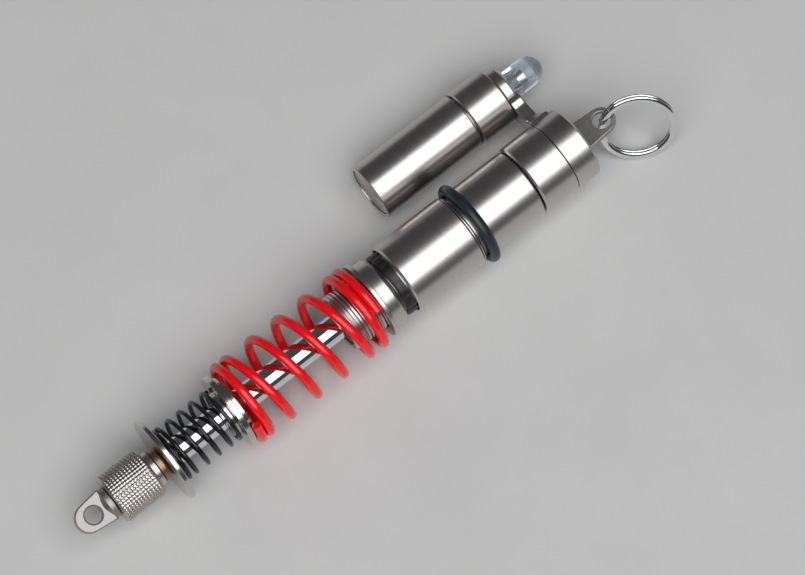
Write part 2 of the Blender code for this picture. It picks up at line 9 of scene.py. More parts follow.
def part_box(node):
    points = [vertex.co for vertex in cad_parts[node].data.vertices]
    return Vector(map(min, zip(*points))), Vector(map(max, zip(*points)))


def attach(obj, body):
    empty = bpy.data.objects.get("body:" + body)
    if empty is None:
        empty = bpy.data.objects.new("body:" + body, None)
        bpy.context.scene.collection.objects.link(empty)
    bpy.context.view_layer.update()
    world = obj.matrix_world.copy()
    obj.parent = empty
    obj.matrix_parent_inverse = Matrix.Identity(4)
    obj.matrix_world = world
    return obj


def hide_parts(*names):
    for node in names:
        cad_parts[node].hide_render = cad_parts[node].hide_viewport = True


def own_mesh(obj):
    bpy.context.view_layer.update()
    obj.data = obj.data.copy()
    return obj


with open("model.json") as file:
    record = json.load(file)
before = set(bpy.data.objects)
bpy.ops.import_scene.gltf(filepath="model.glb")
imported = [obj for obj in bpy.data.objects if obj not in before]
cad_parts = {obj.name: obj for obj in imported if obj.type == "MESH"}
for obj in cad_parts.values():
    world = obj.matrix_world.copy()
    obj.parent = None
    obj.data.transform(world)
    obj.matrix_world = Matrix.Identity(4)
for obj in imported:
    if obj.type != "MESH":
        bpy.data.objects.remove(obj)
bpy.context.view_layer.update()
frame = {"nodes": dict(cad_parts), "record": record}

MM = 0.001

# ---- places, from the frame ------------------------------------------------------------
EYE_TIP = 3.15                # the eye's outer end, beyond its hole's centre


def middle(node):
    low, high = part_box(node)
    return (low + high) / 2


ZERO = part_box("lower_eye")[0].x + EYE_TIP * MM
shock_middle = middle("body_o_ring")
torch_middle = middle("torch_head")
across = Vector((0.0, torch_middle.y - shock_middle.y, torch_middle.z - shock_middle.z))
ROLL = math.atan2(across.z, across.y)
AXIS_SPACING = across.length / MM

SHOCK = Matrix.Translation((ZERO, shock_middle.y, shock_middle.z))
TAB = SHOCK @ Matrix.Rotation(ROLL, 4, "X")
TORCH = TAB @ Matrix.Translation((0.0, AXIS_SPACING * MM, 0.0))

record = frame["record"]
BODY_OF = {n: body for body, nodes in record["behaviour"]["bodies"].items() for n in nodes}


def station(point):
    return (point.x - ZERO) / MM


def on_shock(x):
    """The world place of a station on the shock's axis."""
    return tuple(SHOCK @ Vector((x * MM, 0.0, 0.0)))


def span(node):
    """The stations where a node starts and ends."""
    low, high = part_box(node)
    return station(low), station(high)


def joint(name):
    return next(j for j in record["behaviour"]["joints"] if j["name"] == name)


# ---- sizes -----------------------------------------------------------------------------
ROUND = 144                   # steps round a turned piece
COARSE_ROUND = 96             # and round a thinner one
EDGE = 0.12                   # usual edge rounding
CRISP = 0.06                  # edge rounding of the narrow bright chamfers
FIT = 0.15                    # gap between two pieces that touch on the real object
CAP_R = 6.4
BODY_R = 6.15
SLEEVE_R = 6.45
ROD_R = 2.2
REST_R = 7.5                  # the widest round pieces, which touch the table
PERCH_FACE = 14.9             # where the helper spring starts
DIVIDER_LOW = 26.8            # the divider's two faces
DIVIDER_HIGH = 27.8
CAP_START = 94.25             # the bridge cap's two ends
CAP_END = 98.8
ARM_THICK = 2.3               # the bridge and the boss round the lamp
BOSS_R = 4.25

MERGE = 1e-7                  # vertices nearer than this are one, in metres
ON_AXIS = 1e-9                # a smaller radius is a point on the axis
NEAR = 0.001                  # two radii nearer than this are the same
SHARP = 50.0                  # degrees, from which an edge stays sharp
MIDDLE = (0.3, 0.7)           # where most of a noise texture's values lie


# ---- materials -------------------------------------------------------------------------

def new_material(name, colour, roughness, metallic=0.0, **more):
    """A Principled material. Its other sockets are given by name, with _ for a space."""
    made = bpy.data.materials.new(name)
    made.use_nodes = True
    shader = made.node_tree.nodes["Principled BSDF"]
    shader.inputs["Base Color"].default_value = (*colour, 1.0)
    shader.inputs["Roughness"].default_value = roughness
    shader.inputs["Metallic"].default_value = metallic
    for socket, value in more.items():
        shader.inputs[socket.replace("_", " ")].default_value = value
    return made


def noise(made, scale, stretch=(1.0, 1.0, 1.0), detail=3.0, harshness=0.6):
    """Noise that moves with its piece, with scale in features per metre."""
    nodes, links = made.node_tree.nodes, made.node_tree.links
    coords = nodes.new("ShaderNodeTexCoord")
    mapping = nodes.new("ShaderNodeMapping")
    mapping.inputs["Scale"].default_value = stretch
    texture = nodes.new("ShaderNodeTexNoise")
    texture.inputs["Scale"].default_value = scale
    texture.inputs["Detail"].default_value = detail
    texture.inputs["Roughness"].default_value = harshness
    links.new(coords.outputs["Object"], mapping.inputs["Vector"])
    links.new(mapping.outputs["Vector"], texture.inputs["Vector"])
    return texture.outputs["Fac"]


def spread(made, source, low, high):
    """The noise's middle range stretched to the two values."""
    node = made.node_tree.nodes.new("ShaderNodeMapRange")
    node.inputs["From Min"].default_value = MIDDLE[0]
    node.inputs["From Max"].default_value = MIDDLE[1]
    node.inputs["To Min"].default_value = low
    node.inputs["To Max"].default_value = high
    made.node_tree.links.new(source, node.inputs["Value"])
    return node.outputs["Result"]


def tint(made, source, first, second):
    """The base colour, running between two colours with the noise."""
    nodes, links = made.node_tree.nodes, made.node_tree.links
    ramp = nodes.new("ShaderNodeValToRGB")
    for stop, position, colour in zip(ramp.color_ramp.elements, MIDDLE, (first, second)):
        stop.position = position
        stop.color = (*colour, 1.0)
    links.new(source, ramp.inputs["Fac"])
    links.new(ramp.outputs["Color"], nodes["Principled BSDF"].inputs["Base Color"])


def rough(made, source):
    made.node_tree.links.new(source, made.node_tree.nodes["Principled BSDF"].inputs["Roughness"])


def bump(made, source, depth):
    """Relief from noise, with its depth in millimetres."""
    nodes, links = made.node_tree.nodes, made.node_tree.links
    node = nodes.new("ShaderNodeBump")
    node.inputs["Distance"].default_value = depth * MM
    node.inputs["Strength"].default_value = 1.0
    links.new(source, node.inputs["Height"])
    links.new(node.outputs["Normal"], nodes["Principled BSDF"].inputs["Normal"])


BRUSHED = (1.0, 0.004, 0.004)  # streaks run round the X axis


def turned_metal(name, light, dark, low, high, streak=6000.0, depth=0.0006):
    """Metal turned or brushed round its axis: fine rings, with soft handling marks."""
    made = new_material(name, light, (low + high) / 2, 1.0)
    rings = noise(made, streak, BRUSHED, 4.0, 0.7)
    tint(made, noise(made, 120.0, detail=5.0), dark, light)
    rough(made, spread(made, rings, low, high))
    bump(made, rings, depth)
    return made


def make_satin():
    return turned_metal("satin_nickel_brushed", (0.61, 0.577, 0.552), (0.585, 0.553, 0.528),
                        0.27, 0.32, depth=0.0005)


def make_bright():
    return turned_metal("satin_nickel_edge", (0.66, 0.635, 0.60), (0.61, 0.585, 0.555),
                        0.14, 0.24, 7000.0)


def make_cast():
    """The lower eye and the tab, whose flat faces are duller than the turned pieces."""
    made = new_material("satin_nickel_plate", (0.40, 0.387, 0.374), 0.5, 1.0)
    tint(made, noise(made, 2500.0, detail=4.0), (0.34, 0.33, 0.32), (0.46, 0.445, 0.43))
    rough(made, spread(made, noise(made, 2500.0, detail=4.0), 0.46, 0.54))
    bump(made, noise(made, 5000.0), 0.003)
    return made


def make_knurled():
    made = new_material("knurled_nickel_cut", (0.60, 0.56, 0.53), 0.3, 1.0)
    grain = noise(made, 9000.0, detail=3.0)
    tint(made, noise(made, 700.0), (0.50, 0.465, 0.435), (0.66, 0.62, 0.59))
    rough(made, spread(made, grain, 0.22, 0.42))
    bump(made, grain, 0.004)
    return made


def make_chrome():
    made = new_material("chrome_polished", (0.83, 0.84, 0.86), 0.06, 1.0)
    tint(made, noise(made, 300.0), (0.78, 0.79, 0.81), (0.86, 0.87, 0.88))
    rough(made, spread(made, noise(made, 1800.0, detail=4.0), 0.03, 0.10))
    bump(made, noise(made, 900.0), 0.002)
    return made


def make_brass():
    return turned_metal("dull_brass_turned", (0.40, 0.285, 0.19), (0.30, 0.215, 0.145),
                        0.34, 0.48, 4000.0, 0.002)


def make_steel():
    return turned_metal("plain_steel_drawn", (0.58, 0.58, 0.59), (0.48, 0.48, 0.49), 0.25, 0.4)


def make_red():
    made = new_material("red_enamel_gloss", (0.90, 0.005, 0.012), 0.2, 0.0,
                        Coat_Weight=0.35, Coat_Roughness=0.06, Specular_IOR_Level=0.45)
    tint(made, noise(made, 90.0), (0.87, 0.004, 0.010), (0.93, 0.007, 0.014))
    rough(made, spread(made, noise(made, 1500.0), 0.20, 0.26))
    bump(made, noise(made, 900.0, detail=1.0), 0.002)
    return made


def make_black_wire():
    made = new_material("black_oxide_wire", (0.012, 0.015, 0.020), 0.16, 0.35,
                        Specular_IOR_Level=0.8, Specular_Tint=(0.78, 0.88, 1.0, 1.0))
    tint(made, noise(made, 900.0), (0.008, 0.010, 0.014), (0.022, 0.027, 0.034))
    rough(made, spread(made, noise(made, 4000.0), 0.11, 0.22))
    bump(made, noise(made, 3500.0), 0.003)
    return made


def make_lock_ring_shade():
    """The lock ring: near black and dull, as painted shade for the recess between the seat and the
    sleeve. The helper spring's wire is glossy instead.
    """
    made = new_material("painted_shade_steel_dull", (0.05, 0.048, 0.047), 0.42, 0.8)
    tint(made, noise(made, 900.0), (0.040, 0.038, 0.037), (0.065, 0.062, 0.060))
    rough(made, spread(made, noise(made, 3000.0), 0.38, 0.46))
    bump(made, noise(made, 4000.0), 0.003)
    return made


def make_rubber():
    made = new_material("blue_grey_rubber", (0.010, 0.022, 0.030), 0.36)
    tint(made, noise(made, 800.0), (0.008, 0.018, 0.025), (0.014, 0.028, 0.037))
    rough(made, spread(made, noise(made, 3000.0), 0.32, 0.42))
    bump(made, noise(made, 6000.0, detail=4.0), 0.008)
    return made


def make_clear():
    made = new_material("clear_epoxy_lens", (0.80, 0.90, 1.0), 0.03, 0.0,
                        Transmission_Weight=0.96, IOR=1.51)
    tint(made, noise(made, 200.0), (0.78, 0.89, 0.99), (0.84, 0.93, 1.0))
    rough(made, spread(made, noise(made, 1200.0), 0.01, 0.05))
    return made


def make_lead_frame():
    """The silver-plated frame inside the lamp, which glows blue-white through the lens."""
    made = new_material("silver_lead_frame", (0.84, 0.90, 0.98), 0.22, 0.9)
    tint(made, noise(made, 900.0), (0.80, 0.87, 0.96), (0.88, 0.94, 1.0))
    rough(made, spread(made, noise(made, 3000.0), 0.18, 0.28))
    bump(made, noise(made, 4000.0), 0.002)
    return made


def make_plastic():
    made = new_material("white_plastic_moulded", (0.75, 0.75, 0.72), 0.5)
    tint(made, noise(made, 400.0), (0.70, 0.70, 0.67), (0.78, 0.78, 0.75))
    rough(made, spread(made, noise(made, 2500.0), 0.42, 0.58))
    bump(made, noise(made, 5000.0), 0.005)
    return made


def make_phosphor():
    made = new_material("led_phosphor", (0.85, 0.78, 0.30), 0.5)
    tint(made, noise(made, 3000.0), (0.80, 0.72, 0.22), (0.90, 0.84, 0.40))
    rough(made, spread(made, noise(made, 6000.0), 0.4, 0.6))
    return made


def make_floor_look():
    made = new_material("pale_floor", (0.60, 0.60, 0.595), 0.6)
    tint(made, noise(made, 40.0), (0.585, 0.585, 0.58), (0.61, 0.61, 0.605))
    rough(made, spread(made, noise(made, 300.0), 0.55, 0.65))
    return made


LOOKS = {
    "satin": make_satin(), "bright": make_bright(), "cast": make_cast(),
    "knurled": make_knurled(), "chrome": make_chrome(), "brass": make_brass(),
    "steel": make_steel(), "red": make_red(), "black": make_black_wire(),
    "rubber": make_rubber(), "clear": make_clear(), "frame": make_lead_frame(),
    "painted_shade": make_lock_ring_shade(), "plastic": make_plastic(),
    "phosphor": make_phosphor(), "floor": make_floor_look(),
}


# ---- mesh tools ------------------------------------------------------------------------

NEARLY_STRAIGHT = math.radians(6.0)  # an outline's corner below this stays as it is
ARC_STEP = 18.0               # degrees that one step of a corner's arc turns
MOST = 0.42                   # a corner takes no more than this share of the side beside it
FLANK = 0.06                  # how far the point beside an arc lies from it, at most
FLANK_SHARE = 0.04            # and as a share of the shorter side


def rounded(points, radius=EDGE, closed=False):
    """An outline with its corners turned into small arcs.

    A point may carry its own radius as a third value. Beside each arc lies a point that
    keeps the flat next to it flat.
    """
    count = len(points)
    made = []
    for i, point in enumerate(points):
        here = Vector(point[:2])
        size = point[2] if len(point) > 2 else radius
        if not closed and i in (0, count - 1):
            made.append(tuple(here))
            continue
        back = Vector(points[i - 1][:2]) - here
        ahead = Vector(points[(i + 1) % count][:2]) - here
        turn = math.pi - back.angle(ahead)
        if size <= 0.0 or turn < NEARLY_STRAIGHT:
            made.append(tuple(here))
            continue
        cut = min(size * math.tan(turn / 2), MOST * back.length, MOST * ahead.length)
        flank = min(FLANK, FLANK_SHARE * min(back.length, ahead.length))
        back.normalize()
        ahead.normalize()
        steps = max(3, math.ceil(math.degrees(turn) / ARC_STEP))
        made.append(tuple(here + back * (cut + flank)))
        for k in range(steps + 1):
            t = k / steps
            arc_point = here + back * cut * (1 - t) ** 2 + ahead * cut * t ** 2
            made.append(tuple(arc_point))
        made.append(tuple(here + ahead * (cut + flank)))
    return made


def shaded(mesh):
    """The mesh, shaded smooth except over sharp edges."""
    mesh.shade_smooth()
    mesh.set_sharp_from_angle(angle=math.radians(SHARP))
    return mesh


def finish_mesh(mesh):
    """Merge what meets, point every face outwards and shade the mesh."""
    work = bmesh.new()
    work.from_mesh(mesh)
    bmesh.ops.remove_doubles(work, verts=work.verts, dist=MERGE)
    bmesh.ops.recalc_face_normals(work, faces=work.faces)
    work.to_mesh(mesh)
    work.free()
    return shaded(mesh)


def revolved(name, outline, closed, steps=ROUND, relief=None):
    """The outline of (station, radius) points turned about X, as a mesh in metres.

    relief(station, radius, angle) gives the true radius where the surface is not round.
    """
    verts, rings = [], []
    for x, r in outline:
        if r < ON_AXIS:
            rings.append([len(verts)])
            verts.append((x * MM, 0.0, 0.0))
            continue
        rings.append(list(range(len(verts), len(verts) + steps)))
        for k in range(steps):
            angle = math.tau * k / steps
            true_r = relief(x, r, angle) if relief else r
            verts.append((x * MM, true_r * math.cos(angle) * MM, true_r * math.sin(angle) * MM))
    faces = []
    pairs = list(zip(rings, rings[1:] + rings[:1])) if closed else list(zip(rings, rings[1:]))
    for first, second in pairs:
        for k in range(steps):
            after = (k + 1) % steps
            if len(first) == 1 and len(second) == 1:
                continue
            if len(first) == 1:
                faces.append((first[0], second[k], second[after]))
            elif len(second) == 1:
                faces.append((first[k], first[after], second[0]))
            else:
                faces.append((first[k], first[after], second[after], second[k]))
    mesh = bpy.data.meshes.new(name)
    mesh.from_pydata(verts, [], faces)
    return finish_mesh(mesh)


def swept(name, points, outward, section, closed=False):
    """A section carried along points, as a mesh in metres.

    outward gives each point's direction for the section's first value; the second value
    is measured square to it and to the path.
    """
    count = len(points)
    verts, faces = [], []
    around = len(section)
    for i, point in enumerate(points):
        before = points[i - 1] if closed or i else points[0]
        after = points[(i + 1) % count] if closed or i < count - 1 else points[-1]
        side = (after - before).normalized().cross(outward[i])
        for u, v in section:
            verts.append((point + outward[i] * u + side * v) * MM)
    for i in range(count if closed else count - 1):
        a, b = i * around, ((i + 1) % count) * around
        for k in range(around):
            n = (k + 1) % around
            faces.append((a + k, a + n, b + n, b + k))
    if not closed:
        faces.append(tuple(range(around)))
        faces.append(tuple(range((count - 1) * around, count * around)))
    mesh = bpy.data.meshes.new(name)
    mesh.from_pydata([tuple(v) for v in verts], [], faces)
    return finish_mesh(mesh)


def circle(radius, sides):
    return [
        (radius * math.cos(math.tau * k / sides), radius * math.sin(math.tau * k / sides))
        for k in range(sides)
    ]


def arc(centre, radius, first, last, count):
    """Points on a circle, from the first angle to the last, in degrees."""
    turn = [math.radians(first + (last - first) * i / count) for i in range(count + 1)]
    return [(centre[0] + radius * math.cos(t), centre[1] + radius * math.sin(t)) for t in turn]


def inset(loop, amount):
    """A closed anticlockwise outline moved inwards, or outwards by a negative amount."""
    sharpest = 0.5            # keeps the point of a sharp corner from running away
    moved = []
    for i, point in enumerate(loop):
        here = Vector(point)
        before = (here - Vector(loop[i - 1])).normalized()
        after = (Vector(loop[(i + 1) % len(loop)]) - here).normalized()
        normal = Vector((-before.y, before.x)) + Vector((-after.y, after.x))
        normal.normalize()
        lean = max(normal.dot(Vector((-before.y, before.x))), sharpest)
        moved.append(tuple(here + normal * (amount / lean)))
    return moved


def plate(name, outline, hole, thick, edge):
    """A flat plate in its XY plane with a hole and rounded edges, as a mesh in metres."""
    work = bmesh.new()
    half = thick / 2
    turns = [math.radians(22.5 * k) for k in range(5)]
    flat = edge * 1.25        # a row beside the arc, which keeps the face flat
    lower = [(flat, -half)]
    lower += [(edge * (1 - math.sin(t)), -half + edge * (1 - math.cos(t))) for t in turns]
    levels = lower + [(inward, -z) for inward, z in reversed(lower)]
    ends = []
    for loop, way in ((outline, 1.0), (hole, -1.0)):
        rows = []
        for inward, z in levels:
            moved = inset(loop, way * inward)
            rows.append([work.verts.new((x * MM, y * MM, z * MM)) for x, y in moved])
        for first, second in zip(rows, rows[1:]):
            for k in range(len(loop)):
                after = (k + 1) % len(loop)
                work.faces.new((first[k], first[after], second[after], second[k]))
        ends.append((rows[0], rows[-1]))
    for level in (0, 1):
        edges = []
        for rows in ends:
            row = rows[level]
            for k in range(len(row)):
                edges.append(work.edges.get((row[k], row[(k + 1) % len(row)])))
        bmesh.ops.triangle_fill(work, edges=edges, use_beauty=True)
    mesh = bpy.data.meshes.new(name)
    work.to_mesh(mesh)
    work.free()
    return finish_mesh(mesh)


def nose_outline(nose, nose_r, base, base_half, steps=40):
    """An anticlockwise outline that runs from a straight base to a round nose."""
    way = 1.0 if nose > base else -1.0
    reach = abs(nose - base)
    corner = math.degrees(math.atan2(base_half, reach))
    tangent = 180.0 - corner - math.degrees(math.acos(nose_r / math.hypot(reach, base_half)))
    points = [(nose + way * x, y) for x, y in arc((0.0, 0.0), nose_r, -tangent, tangent, steps)]
    points += [(base, base_half), (base, -base_half)]
    return points if way > 0 else list(reversed(points))


def round_hole(x, radius, steps=48):
    return arc((x, 0.0), radius, 0.0, 360.0 * (steps - 1) / steps, steps - 1)


def joined(name, meshes):
    """Several meshes as one."""
    work = bmesh.new()
    for mesh in meshes:
        work.from_mesh(mesh)
    made = bpy.data.meshes.new(name)
    work.to_mesh(made)
    work.free()
    return shaded(made)


def piece(name, mesh, look, place, node, replaced=True):
    """A piece at its place that rides with its node's body and may stand for the node."""
    made = bpy.data.objects.new(name, mesh)
    bpy.context.scene.collection.objects.link(made)
    mesh.materials.clear()
    mesh.materials.append(LOOKS[look])
    mesh.transform(place)
    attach(made, BODY_OF[node])
    if replaced:
        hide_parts(node)
    return made


def turned(node, outline, look, place=SHOCK, bore=None, relief=None, steps=ROUND):
    """A turned piece that stands for its node.

    Both outlines run from the lower end to the upper end. Without a bore it is solid.
    """
    if bore is None:
        points = [(outline[0][0], 0.0), *outline, (outline[-1][0], 0.0)]
        points = rounded(points)
    else:
        points = rounded([*outline, *reversed(bore)], closed=True)
    mesh = revolved(node + "_fine", points, bore is not None, steps, relief)
    return piece(node + "_fine", mesh, look, place, node)


def wave(value):
    """A triangle wave: 0 at whole numbers and 1 halfway between them."""
    return 1.0 - abs(2.0 * (value % 1.0) - 1.0)


def clamped(value):
    return min(max(value, 0.0), 1.0)


def eased(value):
    """A smooth rise from 0 to 1 while the value goes from 0 to 1."""
    part = clamped(value)
    return part * part * (3.0 - 2.0 * part)


# ---- lower end -------------------------------------------------------------------------

def make_lower_eye():
    """The flat eye and its round shank, whose end is a short cone over the plate."""
    thick, roll, edge = 3.0, 14.0, 0.28
    nose, nose_r, hole_r = -0.7, 2.45, 1.45
    base, base_half, shank_r = 2.8, 2.9, 2.75
    cone_start, cone_end, cone_r = base - 0.9, base - 0.1, 1.3
    end = span("lower_eye")[1]
    flat = plate("eye_plate", nose_outline(nose, nose_r, base, base_half),
                 round_hole(0.0, hole_r), thick, edge)
    shank = revolved("eye_shank", rounded([
        (cone_start, 0.0), (cone_start, cone_r), (cone_end, shank_r), (end, shank_r), (end, 0.0),
    ]), False)
    place = SHOCK @ Matrix.Rotation(math.radians(roll), 4, "X")
    piece("lower_eye_fine", joined("lower_eye_fine", [flat, shank]), "cast", place,
          "lower_eye")


def make_adjuster_knob():
    """The knob, with its square knurl cut as real teeth between two plain edges."""
    start, end = span("adjuster_knob")
    body_end, step_r, knob_r, bore = 11.5, 3.1, 4.4, 1.75
    rows, around, depth, margin = 12, 46, 0.21, 0.3
    steepness = 1.5           # above 1, the teeth have flat tops
    edge_r = knob_r - 0.35
    pitch = (body_end - start - 2 * margin) / rows
    fine = 4

    def relief(x, r, angle):
        if r < knob_r - NEAR:
            return r
        tooth = min(wave((x - start - margin) / pitch), wave(angle * around / math.tau))
        return r - depth * (1.0 - min(1.0, steepness * tooth))

    teeth = [(start + margin + pitch * k / fine, knob_r, 0.0) for k in range(rows * fine + 1)]
    outline = [
        (start, edge_r), *teeth, (body_end, edge_r), (body_end, step_r), (end, step_r),
    ]
    turned("adjuster_knob", outline, "knurled", bore=[(start, bore), (end, bore)],
           relief=relief, steps=around * fine)


def make_stem():
    start, end = span("brass_stem")
    stem_r, neck_r, neck_start = 1.6, 2.9, 12.65
    chamfer, drop = 0.3, 0.25
    turned("brass_stem", [
        (start, stem_r), (neck_start, stem_r), (neck_start, neck_r), (end - chamfer, neck_r),
        (end, neck_r - drop),
    ], "brass")


def make_lower_perch():
    """The thin flange with its hub. Its bore widens from the stem's screw to the rod."""
    start, end = span("lower_perch")
    hub_r, fillet, chamfer = 3.9, 0.2, 0.3
    edge, drop = 0.14, 0.12
    screw_r, screw_bore = 1.2, 1.15
    turned("lower_perch", [
        (start, screw_r), (start, REST_R - drop), (start + edge, REST_R),
        (PERCH_FACE - edge, REST_R), (PERCH_FACE, REST_R - drop), (PERCH_FACE, hub_r, fillet),
        (end - chamfer, hub_r), (end, hub_r - chamfer),
    ], "bright", bore=[(start + 0.01, screw_bore), (end, ROD_R + FIT)])


def make_rod():
    start, end = span("piston_rod")
    chamfer = 0.3
    turned("piston_rod", [(start, ROD_R), (end - chamfer, ROD_R), (end, ROD_R - chamfer)],
           "chrome", steps=COARSE_ROUND)


# ---- springs ---------------------------------------------------------------------------

def coil(turns, phase, radius, start, end, closed, ramp, per_turn, lean=0.0,
         ends=(1.0, 1.0)):
    """Points and outward directions of a right-hand coil with closed end turns.

    ends says how many turns are close at the start and at the end. The open turns lean
    by lean, towards the start on their +Y side.
    """
    count = round(turns * per_turn)

    def openness(turn):
        return eased(min(turn - ends[0], turns - turn - ends[1]) / ramp)

    shares = [openness((i + 0.5) / per_turn) for i in range(count)]
    spare = (end - start) - closed * turns
    points, outward = [], []
    along = start
    for i in range(count + 1):
        angle = math.radians(phase) + math.tau * turns * i / count
        way = Vector((0.0, math.cos(angle), math.sin(angle)))
        leaning = lean * way.y * openness(i / per_turn)
        points.append(Vector((along - leaning, 0.0, 0.0)) + way * radius)
        outward.append(way)
        if i < count:
            along += closed * turns / count + spare * shares[i] / sum(shares)
    return points, outward


def make_helper_spring():
    """The black spring from the perch to the divider."""
    wire, coil_r, turns, phase, ends = 0.7, 4.65, 6.1, 320.0, (1.0, 0.6)
    space, between, ramp = 0.1, 0.12, 0.5
    per_turn, sides = 56, 12
    half = wire / 2 + space
    points, outward = coil(turns, phase, coil_r, PERCH_FACE + half, DIVIDER_LOW - half,
                           wire + between, ramp, per_turn, ends=ends)
    mesh = swept("helper_spring_fine", points, outward, circle(wire / 2, sides))
    return piece("helper_spring_fine", mesh, "black", SHOCK, "helper_spring")


def make_main_spring(seat_face):
    """The red spring from the divider to the upper seat."""
    wire, coil_r, turns, phase, ends = 1.55, 6.7, 6.93, 147.0, (1.09, 1.0)
    space, between, ramp, lean = 0.08, 0.06, 0.8, 0.35
    per_turn, sides = 64, 18
    half = wire / 2 + space
    points, outward = coil(turns, phase, coil_r, DIVIDER_HIGH + half, seat_face - half,
                           wire + between, ramp, per_turn, lean, ends)
    mesh = swept("main_spring_fine", points, outward, circle(wire / 2, sides))
    return piece("main_spring_fine", mesh, "red", SHOCK, "main_spring")


def make_springs():
    """Both springs, each with a mesh of its own."""
    seat_face = span("upper_spring_seat")[0]
    helper = make_helper_spring()
    main = make_main_spring(seat_face)
    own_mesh(helper)
    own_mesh(main)


def make_divider():
    start, end = span("spring_divider")
    disc_r, hub_r, collar_r, bore = 6.6, 3.9, 5.6, 2.5
    hub_fillet, collar_fillet, collar_edge = 0.2, 0.15, 0.3
    turned("spring_divider", [
        (start, hub_r), (DIVIDER_LOW, hub_r, hub_fillet), (DIVIDER_LOW, disc_r),
        (DIVIDER_HIGH, disc_r), (DIVIDER_HIGH, collar_r, collar_fillet),
        (end, collar_r, collar_edge),
    ], "bright", bore=[(start, bore), (end, bore)])


# ---- body ------------------------------------------------------------------------------

def make_pilot_tube():
    """The tube under the seat, with its fine right-hand thread cut as far as the body."""
    start, end = span("pilot_tube")
    tube_r, bore, pitch, depth, fine = 5.0, 3.9, 0.6, 0.14, 6
    chamfer, runout = 0.4, 0.2
    plain_r = tube_r - 0.01
    thread_end = span("lock_ring")[1]
    count = round((thread_end - start - chamfer - runout) / pitch * fine)

    def relief(x, r, angle):
        if r < tube_r - NEAR or x > thread_end:
            return r
        return r - depth * wave(x / pitch - angle / math.tau)

    outline = [(start, tube_r - chamfer)]
    outline += [(start + chamfer + k * pitch / fine, tube_r, 0.0) for k in range(count + 1)]
    outline += [(thread_end + runout, plain_r), (end, plain_r)]
    turned("pilot_tube", outline, "satin", bore=[(start, bore), (end, bore)], relief=relief,
           steps=COARSE_ROUND)


SEAT_BORE = 5.15              # of the two pieces on the thread


def make_spring_seat():
    """The flange behind the main spring, with its conical tail."""
    start, end = span("upper_spring_seat")
    lip_end, lip_r, seat_r, tail_r = 56.6, 6.95, 6.25, 5.4
    chamfer, fillet, cone, taper, cone_edge = 0.15, 0.15, 0.7, 0.15, 0.3
    turned("upper_spring_seat", [
        (start, lip_r - chamfer), (start + chamfer, lip_r), (lip_end, lip_r),
        (lip_end, seat_r, fillet), (end - cone, seat_r - taper, cone_edge), (end, tail_r),
    ], "satin", bore=[(start, SEAT_BORE), (end, SEAT_BORE)])


def make_lock_ring():
    """The ring behind the seat, with shallow slots for a hook spanner in its rim."""
    start, end = span("lock_ring")
    ring_r, chamfer, drop = 5.75, 0.4, 0.3
    slots, depth, steepness = 12, 0.13, 2.4
    slotted_r = 5.4           # the slots are cut from this radius outwards
    fine = 12

    def relief(_, r, angle):
        if r < slotted_r:
            return r
        return r - depth * max(0.0, steepness * wave(angle * slots / math.tau) - steepness + 1.0)

    # The ring's near-black look is painted shade for the recess between the seat and the sleeve.
    turned("lock_ring", [(start, ring_r - drop), (start + chamfer, ring_r), (end, ring_r)],
           "painted_shade", bore=[(start, SEAT_BORE), (end, SEAT_BORE)], relief=relief,
           steps=slots * fine)


def make_sleeve():
    """The body's larger lower part. Its upper end steps down to the rubber ring."""
    start, end = span("body_sleeve")
    bore, chamfer = 5.9, 0.35
    step_start, step, step_end = end - 0.75, end - 0.45, end - 0.3
    step_r, end_r = SLEEVE_R - 0.2, SLEEVE_R - 0.42
    turned("body_sleeve", [
        (start, SLEEVE_R - chamfer, 0.05), (start + chamfer, SLEEVE_R, CRISP),
        (step_start, SLEEVE_R, CRISP), (step, step_r, CRISP), (step_end, step_r, 0.04),
        (end, end_r, CRISP),
    ], "satin", bore=[(start, bore), (end, bore)])


def make_tube():
    """The body's middle part, with the groove that holds the rubber ring."""
    start, end = span("body_tube")
    groove, groove_r, bore, chamfer = station(shock_middle), 5.65, 5.3, 0.28
    half, shoulder = 0.9, 1.0
    turned("body_tube", [
        (start, groove_r), (groove - half, groove_r), (groove + half, groove_r, 0.05),
        (groove + shoulder, BODY_R, 0.1), (end - chamfer, BODY_R, CRISP),
        (end, BODY_R - chamfer, CRISP),
    ], "satin", bore=[(start, bore), (end, bore)])


def make_collar():
    start, end = span("body_collar")
    bore, chamfer = 4.6, 0.32
    turned("body_collar", [
        (start, CAP_R - chamfer, CRISP), (start + chamfer, CAP_R, CRISP), (end, CAP_R, 0.1),
    ], "satin", bore=[(start, bore), (end, bore)])


def make_o_ring():
    section, sides = 0.85, 28
    groove = station(shock_middle)
    ring = [(groove + x, REST_R - section + y) for x, y in circle(section, sides)]
    mesh = revolved("body_o_ring_fine", ring, True)
    piece("body_o_ring_fine", mesh, "rubber", SHOCK, "body_o_ring")


# ---- bridge cap, tab and key ring ------------------------------------------------------

def loft(name, rows):
    """A closed skin through rows of points, all with the same count, in millimetres."""
    verts = [tuple(Vector(p) * MM) for row in rows for p in row]
    around = len(rows[0])
    faces = []
    for i in range(len(rows) - 1):
        a, b = i * around, (i + 1) * around
        for k in range(around):
            n = (k + 1) % around
            faces.append((a + k, a + n, b + n, b + k))
    faces.append(tuple(range(around)))
    faces.append(tuple(range(len(verts) - around, len(verts))))
    mesh = bpy.data.meshes.new(name)
    mesh.from_pydata(verts, [], faces)
    return finish_mesh(mesh)


